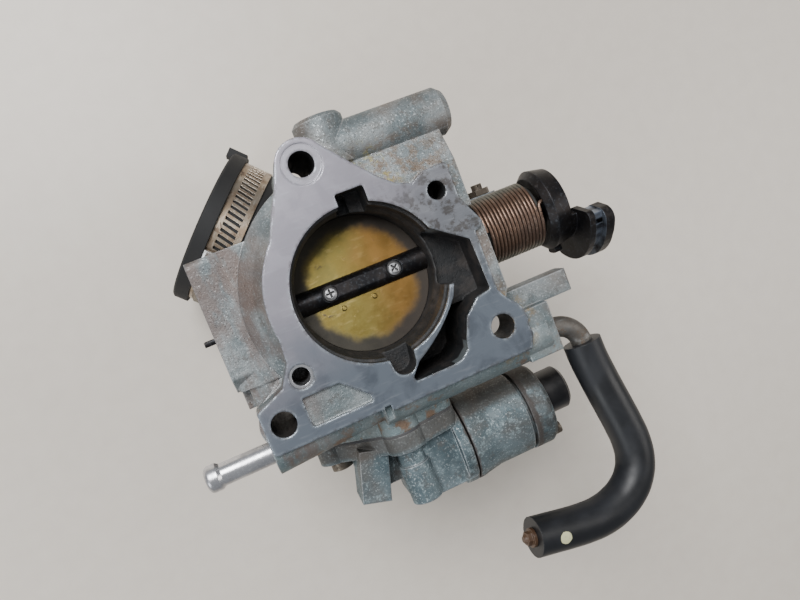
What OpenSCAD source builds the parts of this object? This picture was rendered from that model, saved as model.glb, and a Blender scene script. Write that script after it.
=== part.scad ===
// Cable-operated engine throttle body.
// Frame: origin at the bore centre on the manifold face, +Z out of that face,
// +X along the throttle shaft towards the cable lever, +Y towards the top bolt.

/* [Bore and flange] */
// Radius of the bore where it meets the manifold face
bore_mouth_r = 27.25; // [26:0.25:30]
// Radius of the throttle bore at the plate
bore_r = 25; // [22:0.25:25.5]
// Wall of the barrel round the bore
barrel_wall = 5.5; // [4:0.5:8]
// Thickness of the manifold flange
flange_t = 10; // [7:0.5:13]
// Depth from the manifold face to the end of the inlet collar
body_depth = 56; // [52:1:70]
// Radius of the three flange bolt holes
bolt_hole_r = 4.4; // [3.3:0.1:5.3]

/* [Throttle shaft] */
// Depth of the shaft axis below the manifold face
shaft_depth = 22; // [20:0.5:24]
// Radius of the throttle shaft
shaft_r = 4.5; // [3.5:0.25:5]
// Radial running clearance of the shaft in its bearings
running_gap = 0.03; // [0.01:0.01:0.1]
// Thickness of the brass throttle plate
plate_t = 1.8; // [1:0.1:2.5]
// Clearance between the closed plate and the bore
plate_gap = 0.1; // [0.05:0.05:0.4]
// Angle of the closed plate from square across the bore
plate_tilt = 8; // [4:0.5:12]
// Distance between the two plate screws
plate_screw_pitch = 25; // [20:0.5:28]
// Radius of the needle bearings and seals outside
bearing_r = 6.5; // [6:0.25:7]

/* [Return spring and lever] */
// Mean radius of the return spring
spring_r = 12.3; // [11.8:0.1:13]
// Radius of the spring wire
spring_wire_r = 0.7; // [0.5:0.05:0.75]
// Number of turns in the return spring
spring_turns = 15; // [10:1:15]
// Start of the lever's spring cup along the shaft
cup_x = 71.5; // [71.5:0.5:74]
// Outer radius of the spring cup
cup_r = 15.8; // [15.2:0.1:17]
// Outer radius of the cable quadrant
quadrant_r = 24; // [22:0.5:27]

/* [Coolant line] */
// Outer radius of the coolant nipple and pipe
pipe_r = 3.9; // [3.4:0.1:4.4]
// Wall of the coolant nipple and pipe
pipe_wall = 1; // [0.7:0.1:1.3]
// Bend radius of the coolant pipe
pipe_bend_r = 9; // [8.5:0.5:9]
// Outer radius of the coolant hose
hose_r = 7.2; // [6:0.2:8]

/* [Idle air valve] */
// Radius of the idle actuator's round casing
actuator_r = 16; // [15:0.25:17]
// Length of the idle actuator's casing with its end collar
actuator_len = 34.6; // [32:0.2:40]
// Reach of the valve's mounting screws from the middle of its pad
pad_reach = 24; // [22:0.5:26]
// Travel of the idle plunger
plunger_travel = 4; // [3:0.5:5]

/* [Inlet elbow] */
// Wall of the rubber elbow
elbow_wall = 4; // [3:0.25:5]
// Radius of the rubber elbow's outside
elbow_r = 31.6; // [30:0.2:33]
// Distance from the bore axis to the elbow's open end
elbow_reach = 64.5; // [62:0.5:72]
// Width of the worm-drive clamp band
band_w = 12; // [9:0.5:14]

/* [Hidden] */
$fn = 64;
eps = 0.01;        // overlap between the pieces of one union
fit = 0.02;        // gap between pieces that are pressed or screwed together
shaft_z = -shaft_depth;

// Finishes
cast_grey = [0.66, 0.69, 0.70];
steel = [0.72, 0.72, 0.73];
black = [0.07, 0.07, 0.08];
rubber = [0.05, 0.05, 0.06];
brass = [0.76, 0.58, 0.27];
plated = [0.70, 0.66, 0.50];

// Flange: places of the holes on the manifold face
bolt_top = [-7.2, 44.5];
bolt_left = [-44.4, -32.6];
bolt_right = [37.7, -31.6];
bolts = [bolt_top, bolt_left, bolt_right];
stud_hole = [32.6, 20.8];
stud_hole_r = 3.3;
stud_depth = 15;
dowel_at = [-33.3, -20.1];
dowel_r = 4.1;
dowel_hole_r = 3.1;
dowel_depth = 8;
dowel_hole_depth = 14.5;
bolt_boss_r = 8;
bolt_boss_depth = 50;
spot_r = 8.8;

// Barrel
barrel_r = bore_r + barrel_wall;
inlet_r = bore_r + 1.5;
collar_r = barrel_r + 0.3;
collar_len = 16;
skirt_r = 43.8;      // rounded left shoulder of the casting
skirt_wall = 4;
skirt_depth = 38;

// Shaft bosses
sensor_face_x = -55; // outer face of the sensor flange
sensor_flange_t = 9;
sensor_register_r = 9;
sensor_register_depth = 4;
sensor_screw_r = 1.65;
sensor_screw_reach = 13.5;
boss_r = shaft_r + 4;
boss_end_x = 66;
seal_w = 3;
bearing_w = 10;
left_bearing_x = -50;
right_bearing_x = 51;
shaft_bore_r = shaft_r + 0.1;
left_pocket_end = left_bearing_x + bearing_w + seal_w + 1;

// Lever stack along the shaft, from the cup outwards
cup_web_x = cup_x + 1.5;
cup_web_t = 4;
cup_end_x = cup_x + 8.7;
washer_t = 1;
nut_t = 5;
nut_af = 11;
thread_r = shaft_r - 1;
flats_af = 2 * shaft_r - 2.4;
nut_x = cup_web_x + cup_web_t + washer_t;
cheek_x = cup_x + 10.8;     // left cheek of the quadrant
groove_x = cheek_x + 2.3;
groove_w = 3.7;
cheek_end_x = groove_x + groove_w + 4.7;
quadrant_from = 18;         // measured at the shaft from +Z towards -Y
quadrant_to = 125;
groove_r = quadrant_r - 2.5;

// Stop screw, behind the spring
stop_x = 60.5;
stop_z = shaft_z - 18;
stop_r = 2.2;
stop_tip_y = 2.45;
stop_top_y = 18;
stop_lug = [6, 13.3];

// Coolant passage along the lower edge of the flange
coolant_y = -41.6;
coolant_z = -9;
coolant_boss_r = 8;
coolant_left_x = -51.5;
coolant_right_x = 57;
coolant_bore_r = 3;
socket_len = 9;
nipple_end_x = -75.2;
bead_r = pipe_r + 0.8;
pipe_in_hose = 12;

// Idle valve
pad_c = [-7, -41];          // middle of the mounting pad, as X and Z
pad_y = -54.5;
pad_shelf_t = 10.5;
pad_riser_z = -38;          // the pad's riser stays in front of the elbow's sleeve
pad_screw_depth = 9;
pad_lobe_r = 7.6;
gasket_t = 1;
valve_flange_t = 6.5;
valve_top_y = pad_y - gasket_t;
valve_flange_y = valve_top_y - valve_flange_t;
valve_screw_r = 2.5;
actuator_y = -71.5;
actuator_z = -31;
block_x = [-11.5, 14.6];
block_bottom = -84;
block_z = [-46, -18];
front_seat_y = -72;         // seat of the front screw's head, inside its boss
joint_gap = 0.8;            // dark line where the actuator meets the housing
actuator_x = block_x[1] + joint_gap;
actuator_end_x = actuator_x + actuator_len;
collar_w = 9;
ring_gap = 1.4;
cavity_r = 8;
seat_x = [-2, 1];
seat_r = 4;
plunger_r = 6;
stem_r = 2.2;
coil_r = actuator_r - 6;
plunger_head_x = seat_x[1] + 3.4;
web_x = actuator_x - 1.4;   // web that seats the plunger's spring
core_x = actuator_x + 1.6;
core_len = 24;
spigot_r = 9;
long_screw_r = 1.5;
long_screw_reach = 13;
long_screw_turn = -35;       // from the top of the casing
mouth_r = actuator_r + 1.4;
cap_y = actuator_y + 2;
cap_r = 8.7;
cap_len = 11.5;
pad_holes = [pad_c + [0, pad_reach], pad_c - [pad_reach, 0], pad_c + [14, -5]];
head_y = [front_seat_y, valve_flange_y, valve_flange_y];
port_front = [7, -23.2];
port_rear = [-5.5, -32];
port_r = 3.4;

// Upper tube and its adjusting screw
tube_y = 46.9;
tube_z = -12;
tube_r = 8.65;
tube_end_x = 49;
tube_bore_r = 4;
lump_x = 4.5;
lump_r = 9;
lump_top_y = 58.8;
plug_r = 5;

// Inlet elbow
bend_z = -body_depth - 1;
bend_r = elbow_r + 2.6;
elbow_in_r = elbow_r - elbow_wall;
sleeve_r = collar_r + elbow_wall;
sleeve_top = -body_depth + collar_len + 0.5;
sleeve_room = 0.6;
elbow_z = bend_z - bend_r;
elbow_turn = 135;           // direction of the open end, in the XY plane
lip_w = 6.5;
lip_r = elbow_r + 2.6;
band_t = 0.8;
band_from = elbow_reach - lip_w - band_w;
clamp_angle = 149;          // place of the clamp screw round the band
collar_clamp_z = -body_depth + collar_len - 2;

// Points that the coolant hose follows, from the end of the steel pipe
hose_route = [
    [67, -50.6, -9], [67.2, -57, -8.8], [67.8, -64, -8.2], [68.5, -71, -7.4],
    [69.3, -78, -6.6], [70, -85, -5.8], [70.2, -91.5, -5], [69, -98, -4.2],
    [65.8, -103.5, -3.4], [60.8, -107.6, -2.6], [54.5, -110, -1.8],
    [47.5, -110.8, -1], [40.5, -110, -0.2], [33.5, -108.5, 0.5],
    [26.5, -106.7, 1.2], [20, -105, 2]
];

// ---------- helpers ----------

module rod_x(r, x0, x1, y = 0, z = shaft_z) {
    translate([x0, y, z]) rotate([0, 90, 0]) cylinder(r = r, h = x1 - x0);
}

module rod_y(r, y0, y1, x, z) {
    translate([x, y0, z]) rotate([-90, 0, 0]) cylinder(r = r, h = y1 - y0);
}

module rod_z(r, z0, z1, at = [0, 0]) {
    translate([at[0], at[1], z0]) cylinder(r = r, h = z1 - z0);
}

module box(x, y, z) {
    translate([x[0], y[0], z[0]]) cube([x[1] - x[0], y[1] - y[0], z[1] - z[0]]);
}

// A flat outline in XY, extruded between two heights
module slab_z(z0, z1) {
    translate([0, 0, z0]) linear_extrude(z1 - z0) children();
}

// A flat outline drawn as (X, Z), extruded between two values of Y
module slab_y(y0, y1) {
    translate([0, y1, 0]) rotate([90, 0, 0]) linear_extrude(y1 - y0) children();
}

// A flat outline drawn as (Y, Z), extruded between two values of X
module slab_x(x0, x1) {
    translate([x0, 0, 0]) rotate([90, 0, 90]) linear_extrude(x1 - x0) children();
}

module rounded(r) {
    offset(r = r, $fn = 32) offset(delta = -2 * r) offset(r = r, $fn = 32) children();
}

// A profile drawn as (radius, X), turned about the shaft axis
module turned_x(y = 0, z = shaft_z) {
    translate([0, y, z]) rotate([0, 90, 0]) rotate_extrude() children();
}

function arc(c, r, a0, a1, n) = [for (i = [0:n]) let (a = a0 + (a1 - a0) * i / n) c + r * [cos(a), sin(a)]];

// A round wire or hose swept along points, as one closed skin
function unit(v) = v / norm(v);
function along(p, i) = unit(p[min(i + 1, len(p) - 1)] - p[max(i - 1, 0)]);
function across(t) = unit(cross(t, abs(t[0]) < 0.9 ? [1, 0, 0] : [0, 1, 0]));
function carry(p, n, i = 1) = i >= len(p) ? n :
    let (t = along(p, i), last = n[i - 1], flat = last - (last * t) * t)
    carry(p, concat(n, [unit(flat)]), i + 1);
module swept(p, r, sides) {
    normals = carry(p, [across(along(p, 0))]);
    rings = [for (i = [0:len(p) - 1]) let (t = along(p, i), u = normals[i], v = cross(t, u))
        for (k = [0:sides - 1]) p[i] + r * (cos(360 * k / sides) * u + sin(360 * k / sides) * v)];
    last = (len(p) - 1) * sides;
    walls = [for (i = [0:len(p) - 2]) for (k = [0:sides - 1])
        [i * sides + k, (i + 1) * sides + k, (i + 1) * sides + (k + 1) % sides, i * sides + (k + 1) % sides]];
    start_cap = [[for (k = [0:sides - 1]) k]];
    end_cap = [[for (k = [sides - 1:-1:0]) last + k]];
    polyhedron(points = rings, faces = concat(start_cap, end_cap, walls), convexity = 8);
}

module hex_head(af, h) {
    cylinder(r = af / sqrt(3), h = h, $fn = 6);
}

// Small pan-head screw with a cross recess; its head sits on z = 0
module pan_screw(r, length, head_r, head_h) {
    difference() {
        union() {
            translate([0, 0, -length]) cylinder(r = r, h = length + eps);
            cylinder(r = head_r, h = head_h * 0.55);
            translate([0, 0, head_h * 0.55]) cylinder(r1 = head_r, r2 = head_r * 0.62, h = head_h * 0.45);
        }
        for (a = [0, 90]) rotate(a + 20)
            translate([-head_r * 0.62, -head_r * 0.13, head_h * 0.4])
                cube([head_r * 1.24, head_r * 0.26, head_h]);
    }
}

// ---------- main casting ----------

module face_outline() {
    rounded(1.6) polygon(concat(
        [[-51.2, -41.6], [-9.6, -41.6], [-9.2, -43.2], [45, -43.2], [47.2, -38]],
        arc(bolt_right, 9.6, -20, 35, 5),
        [[42.5, -22.6], [40.4, -19], [40.4, 3], [44.6, 4.5], [41, 12], [39.2, 16], [39.2, 29]],
        [[30, 28.5], [25.3, 26], [20, 28], [15.3, 32], [7, 41]],
        arc(bolt_top, spot_r, 30, 165, 10),
        [[-18.6, 39.6], [-22.4, 32.6]],
        arc([0, 0], 36, 137, 190, 12),
        [[-36, -14], [-40.5, -21.5], [-51.2, -26]]
    ));
}

module chamber_outline() {
    rounded(1.2) difference() {
        polygon(concat(
            [[20, 11], [25.4, 9.8], [37.6, 1.2], [38.2, -17.6], [32.5, -18.6], [26.8, -23.5]],
            [[23.9, -30.4], [23, -34], [19.6, -36.6], [16, -37.2], [2, -37.2], [1.6, -35.4], [5.3, -31.3]],
            arc([-23, 22.8], 61, -62.4, -38.3, 6),
            [[26.6, -11], [20, -10]]
        ));
        circle(r = bore_mouth_r - 1.5);
    }
}

module chamber_deep_outline() {
    intersection() {
        chamber_outline();
        translate([0, -60]) square([60, 60 - 19.5]);
    }
}

// Flange, with long bosses round the top and left bolts
module flange() {
    slab_z(-flange_t, 0) face_outline();
    for (p = [bolt_top, bolt_left]) rod_z(bolt_boss_r, -bolt_boss_depth, -1, p);
}

module barrel() {
    rod_z(barrel_r, -body_depth, -1);
    rod_z(collar_r, -body_depth, -body_depth + collar_len);
}

// Rounded left shoulder: a sloping band, a shelf and a skirt that is open at the back
module shoulder() {
    difference() {
        intersection() {
            translate([0, 0, -skirt_depth]) rotate_extrude() polygon([
                [0, 0], [skirt_r, 0], [skirt_r, skirt_depth - 8], [39, skirt_depth - 4],
                [35.9, skirt_depth - 0.4], [0, skirt_depth - 0.4]
            ]);
            box([-60, 0], [-30, 42], [-60, 0]);
        }
        difference() {
            rod_z(skirt_r - skirt_wall, -60, -flange_t - 3);
            rod_z(barrel_r - 1, -61, 0);
            box([-60, 60], [-2, 2], [-61, 1]);
        }
    }
}

// Wall round the bypass chamber
module chamber_wall() {
    slab_z(-32, -1) intersection() {
        rounded(3) offset(delta = 6.2)
            polygon([[24, 9], [38.2, 1.5], [38.2, -18], [30, -34], [2, -37.2], [2, -20]]);
        translate([-60, -60]) square([104.6, 120]);
    }
}

// Flange for the position sensor, across the left end of the shaft, and its foot on the shoulder
module sensor_flange() {
    slab_y(-19, 28.2) rounded(1.5)
        polygon([[-54, -37], [-54, -12.4], [-43, -8.8], [-30, -8.8], [-30, -37]]);
    slab_y(-29, -18) rounded(1.5)
        polygon([[-51, -35], [-51, -14], [-44, -9.5], [-30, -9.5], [-30, -35]]);
    slab_x(sensor_face_x, sensor_face_x + sensor_flange_t) rounded(2)
        polygon([[-19, -38], [-19, -14], [-14, -10], [28.2, -10], [28.2, -28], [18, -37.5]]);
    box([sensor_face_x + 1, -43], [-27, -16], [-37, -21]);
}

module shaft_bosses() {
    rod_x(boss_r + 1.5, sensor_face_x + 2, -28);
    rod_x(boss_r + 1.5, 28, 47);
    rod_x(boss_r, 46, boss_end_x);
}

// Coolant passage: tapered on the left, straight on the right, with a floor to the barrel
module coolant_boss() {
    turned_x(coolant_y, coolant_z) polygon([
        [0, coolant_left_x], [coolant_boss_r, coolant_left_x], [coolant_boss_r - 2.4, -12],
        [coolant_boss_r - 0.3, -11.9], [coolant_boss_r - 0.3, coolant_right_x - 3], [0, coolant_right_x - 3]
    ]);
    box([44, coolant_right_x], [-48.5, -30], [-17, -2.6]);
    slab_z(-flange_t - 6, -flange_t + 1) rounded(2)
        polygon([[-50, -45.6], [-52, -27], [-38, -18], [-20, -10], [30, -20], [46, -30], [46, -45.6]]);
}

// Pad for the idle valve: a shelf with a riser in front of the elbow's sleeve
module valve_pad() {
    slab_y(pad_y, pad_y + pad_shelf_t) pad_outline();
    slab_y(pad_y, -24) intersection() {
        pad_outline();
        translate([-60, pad_riser_z]) square([120, 60]);
    }
}

// Cast arm on the right, and the lug that holds the stop screw
module arms() {
    slab_y(-30.6, -22.4) rounded(1.5) polygon([[40, -18], [40, -7.6], [70.2, -7.6], [70.2, -17]]);
    slab_y(stop_lug[0], stop_lug[1]) rounded(2)
        polygon([[38, stop_z - 6], [38, stop_z + 3.8], [stop_x + 6, stop_z + 3.8], [stop_x + 6, stop_z - 6]]);
    slab_y(-6, stop_lug[1] - 0.5) polygon([
        [26, -38.4], [26, -16], [43.5, -16], [43.5, -30], [45, stop_z - 5], [38, stop_z - 5], [37, -38.4]
    ]);
}

// Upper tube, its web and the lump at its left end
module upper_tube() {
    turned_x(tube_y, tube_z) polygon([
        [0, -2], [tube_r, -2], [tube_r, tube_end_x - 2.4], [tube_r - 1.7, tube_end_x], [0, tube_end_x]
    ]);
    translate([lump_x, 0, tube_z]) rotate([-90, 0, 0]) rotate_extrude() polygon([
        [0, tube_y - 6], [lump_r, tube_y - 6], [lump_r, lump_top_y - 1.4], [lump_r - 1.2, lump_top_y],
        [0, lump_top_y]
    ]);
    slab_z(-17, -7) rounded(2) polygon([[-14, 50], [43, 50], [43, 8], [20, 10], [-20, 20]]);
    hull() {
        box([15, 43.2], [28, 29], [-8, -2.2]);
        box([34, 43.2], [12, 13], [-8, -2.2]);
        box([4, 43.2], [43, 44], [-9, -8]);
    }
}

module body_solid() {
    flange();
    barrel();
    shoulder();
    chamber_wall();
    sensor_flange();
    shaft_bosses();
    coolant_boss();
    valve_pad();
    arms();
    upper_tube();
}

module pad_outline() {
    rounded(2.5) union() {
        for (p = pad_holes) translate(p) circle(r = pad_lobe_r);
        offset(r = 5.5, $fn = 32) polygon([pad_holes[0], [9, -21], pad_holes[2], pad_holes[1]]);
    }
}

module body_cuts() {
    // room round the collar for the elbow's sleeve and its clamp
    difference() {
        rod_z(sleeve_r + band_t + sleeve_room, -body_depth - 1, sleeve_top);
        rod_z(collar_r, -body_depth - 2, sleeve_top + 1);
    }
    // bore: ledge at the mouth, taper to the throttle, slight flare to the inlet
    rod_z(bore_mouth_r, -3.4, 1);
    rod_z(bore_mouth_r - 0.9, -9, 1);
    translate([0, 0, -12.5]) cylinder(r1 = bore_r, r2 = bore_mouth_r - 0.9, h = 3.5);
    rod_z(bore_r, -body_depth - 1, 1);
    translate([0, 0, -body_depth - eps]) cylinder(r1 = inlet_r, r2 = bore_r, h = 12);
    // slots in the bore's rim
    slab_z(-15, 1) rounded(0.8) translate([-1, 18]) square([10.3, 13.4]);
    slab_z(-11, 1) hull() {
        translate([0.5, -29.6]) circle(r = 4.2, $fn = 32);
        translate([0.5, -20]) circle(r = 5.4, $fn = 32);
    }
    // bypass chamber
    slab_z(-14, 1) chamber_outline();
    slab_z(-27, 1) chamber_deep_outline();
    // bolt holes with their spot faces, the threaded hole and the dowel
    for (p = bolts) rod_z(bolt_hole_r, -70, 1, p);
    rod_z(6.9, -0.25, 1, bolt_top);
    rod_z(stud_hole_r, -stud_depth, 1, stud_hole);
    rod_z(dowel_r + fit, -dowel_depth, 1, dowel_at);
    rod_z(dowel_hole_r, -dowel_hole_depth, 1, dowel_at);
    // shallow plain recess where castings carry their mark
    slab_z(-1.6, 1) rounded(0.9)
        polygon([[-36, -27], [-22.6, -27], [-14.2, -35], [-14.2, -37.4], [-35.6, -37.4]]);
    // small notch in the lower edge
    box([-11.6, -9.2], [-52, -41], [-3.4, 1]);
    // shaft, bearings and seals
    rod_x(shaft_bore_r, -70, 80);
    rod_x(bearing_r + fit, left_bearing_x, left_pocket_end);
    rod_x(sensor_register_r, sensor_face_x - 1, sensor_face_x + sensor_register_depth);
    rod_x(bearing_r - 0.8, sensor_face_x - 1, left_bearing_x + eps);
    rod_x(bearing_r + fit, right_bearing_x, boss_end_x + 1);
    for (s = [-1, 1]) rod_x(sensor_screw_r, sensor_face_x - 1, sensor_face_x + 8, s * sensor_screw_reach);
    // coolant passage and its two sockets
    rod_x(coolant_bore_r, coolant_left_x - 1, coolant_right_x + 1, coolant_y, coolant_z);
    rod_x(pipe_r + fit, coolant_left_x - 4, coolant_left_x + socket_len, coolant_y, coolant_z);
    rod_x(pipe_r + fit, coolant_right_x - socket_len, coolant_right_x + 1, coolant_y, coolant_z);
    // idle air ports and the pad's screw holes
    rod_y(port_r, pad_y - 1, -33, port_front[0], port_front[1]);
    rod_y(port_r, pad_y - 1, -bore_r + 4, port_rear[0], port_rear[1]);
    for (p = pad_holes) rod_y(valve_screw_r + fit, pad_y - 1, pad_y + pad_screw_depth, p[0], p[1]);
    // stop screw hole
    rod_y(stop_r + fit, stop_lug[0] - 1, stop_lug[1] + 1, stop_x, stop_z);
    // adjusting screw bore, its air holes and the plugged drilling
    rod_x(tube_bore_r, lump_x - 4, tube_end_x + 1, tube_y, tube_z);
    rod_y(2.5, 14, tube_y, 2, tube_z - 4);
    rod_y(plug_r + fit, lump_top_y - 4, lump_top_y + 1, lump_x, tube_z);
    rod_y(3, tube_y, lump_top_y, lump_x, tube_z);
}

module throttle_body() {
    color(cast_grey) difference() {
        body_solid();
        body_cuts();
    }
}

module dowel_sleeve() {
    color(steel) difference() {
        rod_z(dowel_r, -dowel_depth + fit, -0.4, dowel_at);
        rod_z(dowel_hole_r, -dowel_depth - 1, 1, dowel_at);
    }
}

module boss_plug() {
    color(steel) rod_y(plug_r, lump_top_y - 3.9, lump_top_y - 0.9, lump_x, tube_z);
}

// ---------- throttle ----------

module plate_frame() {
    translate([0, 0, shaft_z]) rotate([-plate_tilt, 0, 0]) children();
}

module throttle_shaft() {
    flat_z = shaft_r - 0.5;
    tongue_x = -59.5;
    color(black) difference() {
        union() {
            rod_x(shaft_r, left_bearing_x + 0.5, nut_x);
            rod_x(thread_r, nut_x - 1, nut_x + nut_t + 1.6);
            rod_x(2.9, -53, left_bearing_x + 1);
            intersection() {
                rod_x(2.9, tongue_x, -52);
                translate([tongue_x, -0.9, shaft_z - 5]) cube([9, 1.8, 10]);
            }
        }
        plate_frame() {
            // slot for the plate, a flat between the screws and the two screw seats
            translate([-bore_r - 0.4, -shaft_r - 1, -plate_t / 2 - fit])
                cube([2 * bore_r + 0.8, 2 * shaft_r + 2, plate_t + 2 * fit]);
            translate([-plate_screw_pitch / 2 + 1, -shaft_r, flat_z])
                cube([plate_screw_pitch - 5, 2 * shaft_r, 2]);
            for (s = [-1, 1]) translate([s * plate_screw_pitch / 2, 0, 0]) {
                translate([0, 0, -6]) cylinder(r = 1.55, h = 12);
                translate([0, 0, shaft_r - 1.1]) cylinder(r = 3, h = 3);
            }
        }
        // flats that drive the lever
        for (s = [-1, 1]) translate([cup_web_x - 0.6, s * (flats_af / 2 + 3) - 3, shaft_z - 6])
            cube([20, 6, 12]);
    }
}

module throttle_plate() {
    color(brass) intersection() {
        rod_z(bore_r - plate_gap, -60, 10);
        plate_frame() difference() {
            union() {
                translate([0, 0, -plate_t / 2]) cylinder(r = bore_r + 5, h = plate_t);
                for (x = [-9.5, 2.5]) translate([x, -6.6, plate_t / 2 - 0.3])
                    cylinder(r1 = 1.3, r2 = 0.7, h = 0.7);
            }
            for (s = [-1, 1]) translate([s * plate_screw_pitch / 2, 0, -5]) cylinder(r = 1.55, h = 10);
        }
    }
}

module plate_screws() {
    color(steel) plate_frame() for (s = [-1, 1])
        translate([s * plate_screw_pitch / 2, 0, shaft_r - 1.1 + fit])
            rotate(s * 15) pan_screw(1.5, 6.9, 2.6, 1.5);
}

module bearing(x) {
    color(steel) difference() {
        rod_x(bearing_r, x + fit, x + bearing_w);
        rod_x(shaft_r + running_gap, x - 1, x + bearing_w + 1);
        difference() {
            rod_x(bearing_r - 0.9, x + 1, x + bearing_w - 1);
            for (k = [0:11]) rotate_about_shaft(30 * k)
                rod_x(1, x, x + bearing_w, 0, shaft_r + running_gap + 0.85);
            rod_x(shaft_r + 0.35, x, x + bearing_w);
        }
    }
}

module rotate_about_shaft(a) {
    translate([0, 0, shaft_z]) rotate([a, 0, 0]) children();
}

module shaft_bearing_left() {
    bearing(left_bearing_x);
}

module shaft_bearing_right() {
    bearing(right_bearing_x);
}

module seal(x) {
    difference() {
        rod_x(bearing_r, x, x + seal_w);
        rod_x(shaft_r + running_gap, x - 1, x + seal_w + 1);
        difference() {
            rod_x(bearing_r - 1, x + 0.8, x + seal_w + 1);
            rod_x(shaft_r + 0.7, x, x + seal_w + 1);
        }
    }
}

module shaft_seals() {
    color(rubber) {
        seal(left_bearing_x + bearing_w + 0.5);
        seal(right_bearing_x + bearing_w + 0.8);
    }
}

// ---------- return spring and lever ----------

spring_x0 = 47.6;
spring_x1 = cup_x - 1.3;
spring_leg = 5;
function spring_point(a) = [spring_x0 + (spring_x1 - spring_x0) * a / (360 * spring_turns),
    spring_r * sin(a), shaft_z + spring_r * cos(a)];

module return_spring() {
    steps = 24;
    last = spring_turns * 360;
    path = concat(
        [for (i = [0:steps * spring_turns]) spring_point(i * 360 / steps)],
        [[spring_x1 + 0.5, spring_r * sin(last + 12), shaft_z + spring_r * cos(last + 12)]],
        [[spring_x1 + 1.4, spring_r * sin(last + 16), shaft_z + spring_r * cos(last + 16)]],
        [[spring_x1 + 1.4 + spring_leg, spring_r * sin(last + 16), shaft_z + spring_r * cos(last + 16)]]
    );
    color(steel) swept(path, spring_wire_r, 8);
}

module spring_guide() {
    guide_r = spring_r - spring_wire_r - 0.3;
    color([0.16, 0.16, 0.15]) difference() {
        rod_x(guide_r, 47.2, cup_x - 1.2);
        rod_x(boss_r + 0.1, 47, boss_end_x + 0.2);
        rod_x(shaft_r + 0.6, 47, cup_x);
    }
}

// A part of a ring round the shaft, between two angles from +Z towards -Y
module sector_outline(r0, r1, a0, a1) {
    translate([0, shaft_z]) polygon(concat(
        [for (i = [0:16]) let (a = a0 + (a1 - a0) * i / 16) r1 * [-sin(a), cos(a)]],
        [for (i = [16:-1:0]) let (a = a0 + (a1 - a0) * i / 16) r0 * [-sin(a), cos(a)]]
    ));
}

module cable_lever() {
    leg_a = spring_turns * 360 + 16;
    stop_inner = spring_r + spring_wire_r + 1;
    color(black) difference() {
        union() {
            // spring cup and hub
            turned_x() polygon([
                [0, cup_web_x], [spring_r - 2.2, cup_web_x], [spring_r - 2.2, cup_x + 0.6],
                [spring_r + 1.2, cup_x], [cup_r, cup_x + 2.5], [cup_r - 1.2, cup_end_x],
                [cup_r - 4.2, cup_end_x], [cup_r - 5.4, cup_web_x + cup_web_t], [0, cup_web_x + cup_web_t]
            ]);
            // arm and cable quadrant
            slab_x(cup_web_x + 1, cheek_x + 0.5)
                sector_outline(cup_r - 6, cup_r - 1.4, quadrant_from + 4, quadrant_to - 4);
            slab_x(cheek_x, groove_x)
                rounded(2.5) sector_outline(9.5, quadrant_r - 0.8, quadrant_from - 2, quadrant_to);
            slab_x(groove_x - eps, groove_x + groove_w + eps)
                sector_outline(14, groove_r, quadrant_from + 2, quadrant_to - 2);
            slab_x(groove_x + groove_w, cheek_end_x - 1.4)
                rounded(3.5) sector_outline(12, quadrant_r, quadrant_from, quadrant_to);
            slab_x(cheek_end_x - 1.5, cheek_end_x)
                rounded(3.5) sector_outline(13.4, quadrant_r - 1.4, quadrant_from + 4, quadrant_to - 4);
            // tab under the cup and the finger that meets the stop screw
            slab_x(cup_x + 3, cup_x + 6) rounded(0.8) sector_outline(12, cup_r + 1.9, 84, 104);
            slab_x(cup_x + 0.6, cup_x + 6) sector_outline(stop_inner, 20.5, 172, 188);
            slab_x(stop_x - 3.5, cup_x + 2) sector_outline(stop_inner + 1.4, 20.5, 174, 186);
        }
        // double-D hole, spring leg hole, cable slot
        intersection() {
            rod_x(shaft_r + fit, cup_x - 1, cup_web_x + cup_web_t + 1);
            translate([cup_x - 2, -flats_af / 2 - fit, shaft_z - 8]) cube([12, flats_af + 2 * fit, 16]);
        }
        translate([0, spring_r * sin(leg_a), spring_r * cos(leg_a)])
            rod_x(spring_wire_r + 0.4, cup_x - 1, cup_x + 7);
        rotate_about_shaft(quadrant_from + 12)
            translate([cheek_end_x - 8, 0, quadrant_r - 5]) rotate([0, 90, 0]) cylinder(r = 2.6, h = 12);
    }
}

module lever_washer() {
    color(steel) difference() {
        rod_x(thread_r + 4, nut_x - washer_t + fit, nut_x - fit);
        rod_x(shaft_r + 0.1, nut_x - 3, nut_x + 1);
    }
}

module lever_nut() {
    color(plated) difference() {
        translate([nut_x + fit, 0, shaft_z]) rotate([0, 90, 0]) hex_head(nut_af, nut_t);
        rod_x(thread_r + fit, nut_x - 1, nut_x + nut_t + 1);
    }
}

module stop_screw() {
    color(plated) difference() {
        rod_y(stop_r, stop_tip_y, stop_top_y, stop_x, stop_z);
        translate([stop_x - 0.4, stop_top_y - 1.2, stop_z - 3]) cube([0.8, 2, 6]);
    }
}

module stop_screw_nut() {
    color(plated) difference() {
        translate([stop_x, stop_lug[1] + 2.4 + fit, stop_z]) rotate([90, 0, 0]) hex_head(8, 2.4);
        rod_y(stop_r + fit, stop_lug[1] - 1, stop_top_y, stop_x, stop_z);
    }
}

// ---------- coolant line ----------

module coolant_nipple() {
    inner_x = coolant_left_x + socket_len - fit;
    color(steel) difference() {
        union() {
            rod_x(pipe_r, nipple_end_x + 1, inner_x, coolant_y, coolant_z);
            turned_x(coolant_y, coolant_z) polygon(concat(
                [[0, nipple_end_x]],
                [for (a = [0:15:90]) [pipe_r - 1.1 + 1.9 * sin(a), nipple_end_x + 1.9 - 1.9 * cos(a)]],
                [[bead_r, nipple_end_x + 4.4], [pipe_r, nipple_end_x + 5.6], [0, nipple_end_x + 5.6]]
            ));
        }
        rod_x(pipe_r - pipe_wall, nipple_end_x - 1, inner_x + 1, coolant_y, coolant_z);
    }
}

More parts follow.
